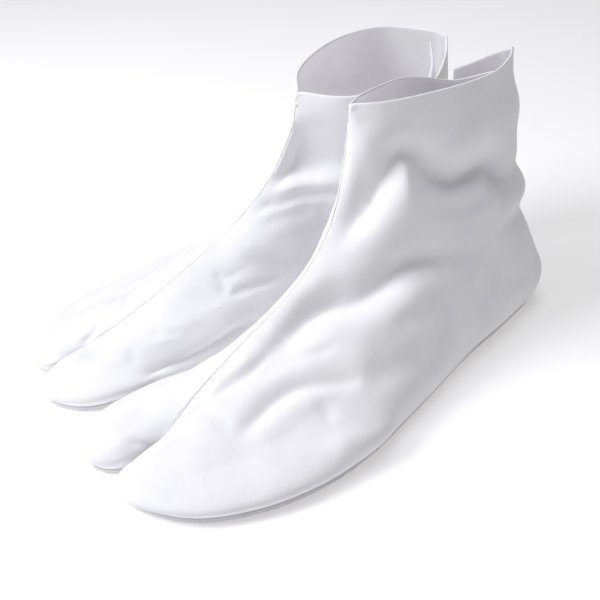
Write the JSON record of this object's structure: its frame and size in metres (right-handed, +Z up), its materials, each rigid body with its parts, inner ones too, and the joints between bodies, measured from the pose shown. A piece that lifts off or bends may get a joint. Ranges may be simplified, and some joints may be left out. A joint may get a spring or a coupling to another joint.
{
  "type": "pair of tabi socks",
  "caption": "Pair of white ankle-high split-toe socks, standing filled out side by side, with flat soles and loose lapped flaps at the back of the ankle.",
  "frame": {"origin": "on the floor, under the middle of the pair's bounding box", "axes": "+Z up, toes toward -Y, heels toward +Y; the left sock is on the +X side and the right sock on the -X side"},
  "size_m": [0.1822, 0.24, 0.1235],
  "materials": {
    "upper_cloth": "matte white woven cloth",
    "sole_cloth": "matte white woven cloth, layered"
  },
  "bodies": {
    "root": {"left_sole": "sole_cloth", "left_inner_upper": "upper_cloth", "left_outer_upper": "upper_cloth", "right_sole": "sole_cloth", "right_inner_upper": "upper_cloth", "right_outer_upper": "upper_cloth"}
  },
  "joints": []
}
